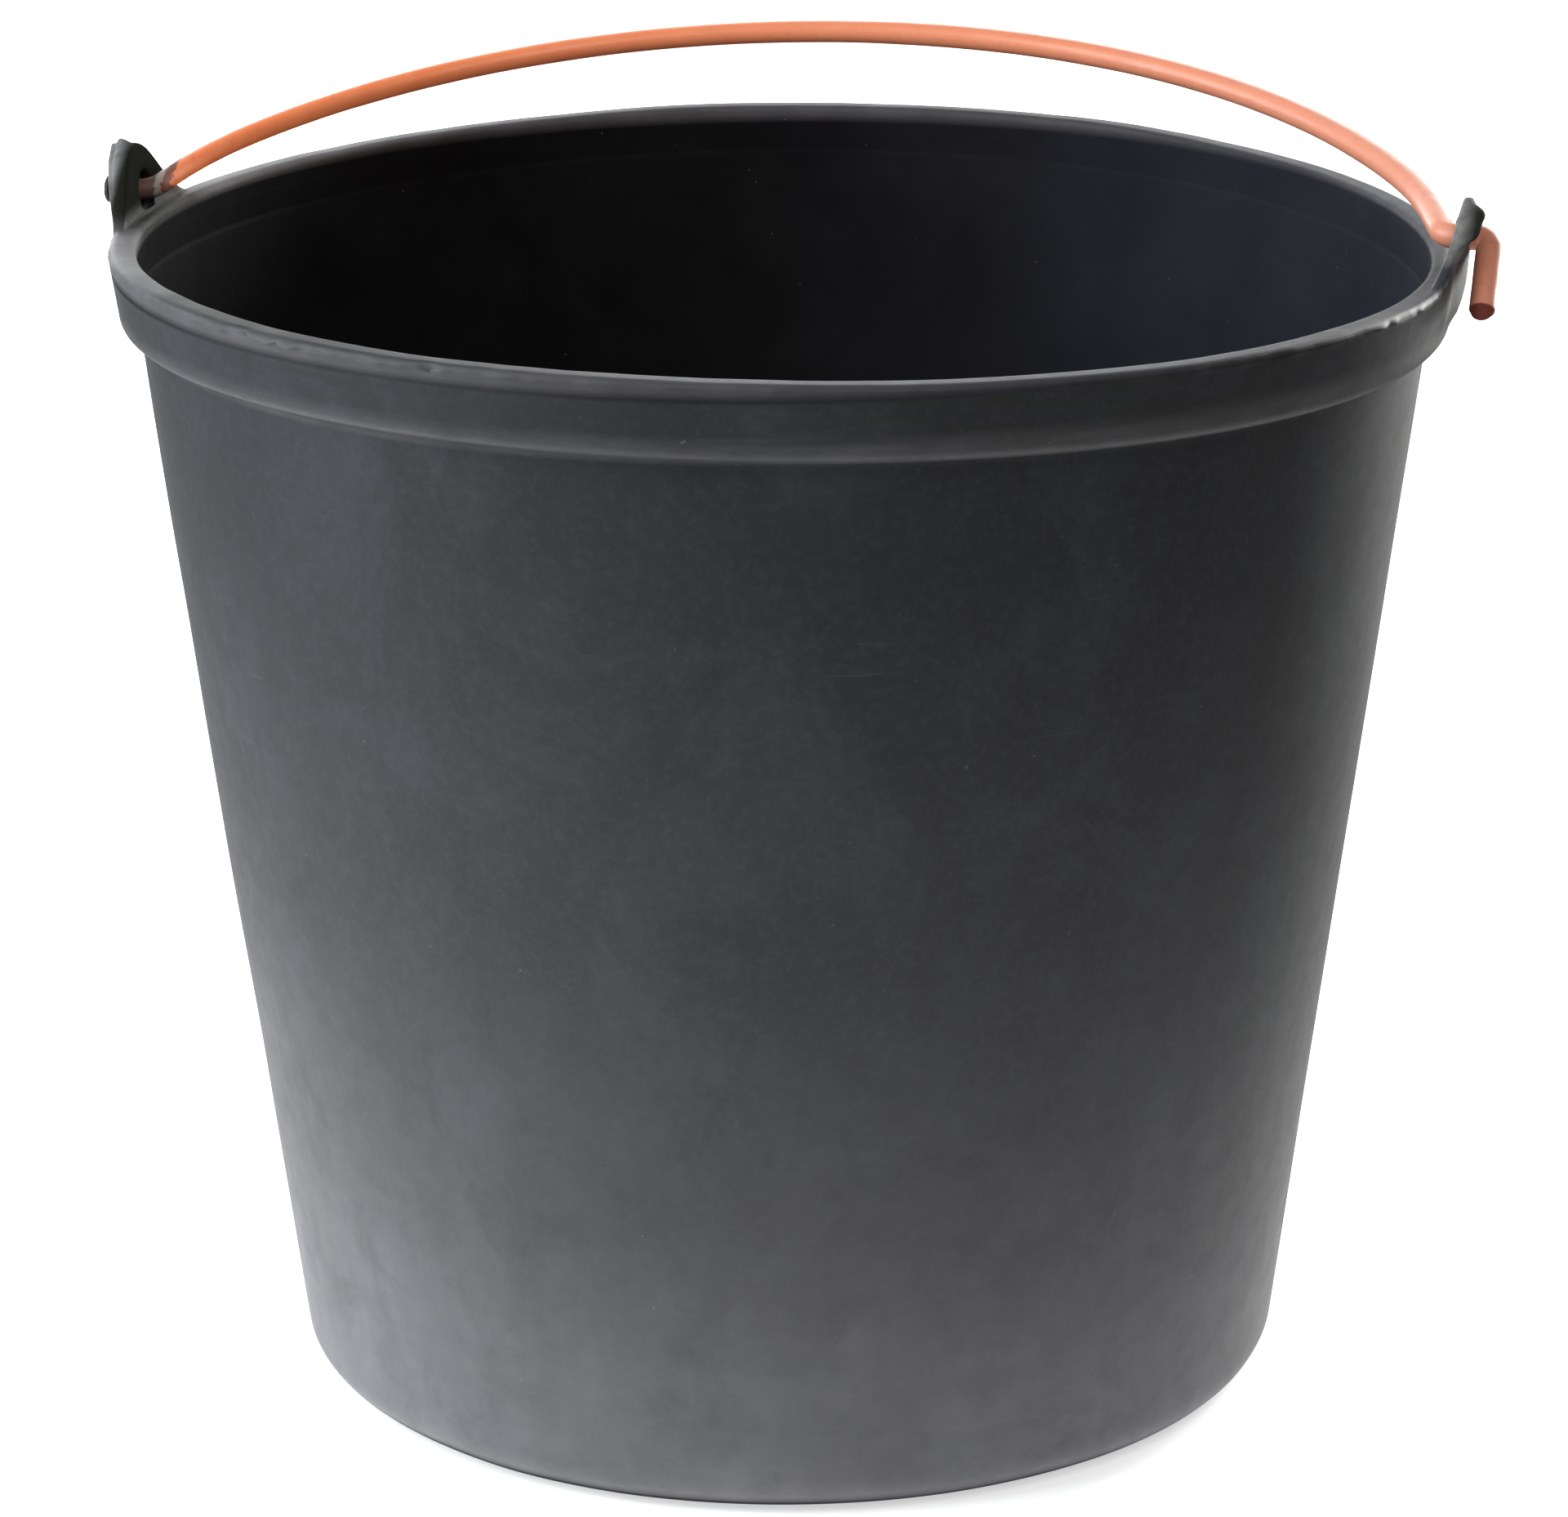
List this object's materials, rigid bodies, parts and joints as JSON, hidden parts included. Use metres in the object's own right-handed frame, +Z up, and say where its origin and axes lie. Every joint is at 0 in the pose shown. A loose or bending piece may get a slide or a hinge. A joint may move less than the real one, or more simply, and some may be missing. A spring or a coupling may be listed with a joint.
{
  "type": "feed bucket",
  "caption": "Tapered round rubber bucket with a thick rim band, two moulded ears and a coated wire carrying bail that folds over either side.",
  "frame": {"origin": "centre of the base on the ground plane", "axes": "+Z up along the bucket's axis; X runs through the two ears and along the bail's pivot line; the bail lies folded back towards +Y at rest, so -Y is the front"},
  "size_m": [0.3515, 0.334, 0.3218],
  "materials": {
    "moulded_rubber": "matte",
    "orange_coating": "satin",
    "steel_wire": "satin"
  },
  "bodies": {
    "bucket": {"bucket_body": "moulded_rubber"},
    "bail": {"bail_coating": "orange_coating", "bail_wire": "steel_wire"}
  },
  "joints": [
    {"name": "bail_hinge", "type": "hinge", "parent": "bucket", "child": "bail", "pos_m": [0, 0, 0.294], "axis": [1, 0, 0], "range_deg": [-14, 170]}
  ]
}
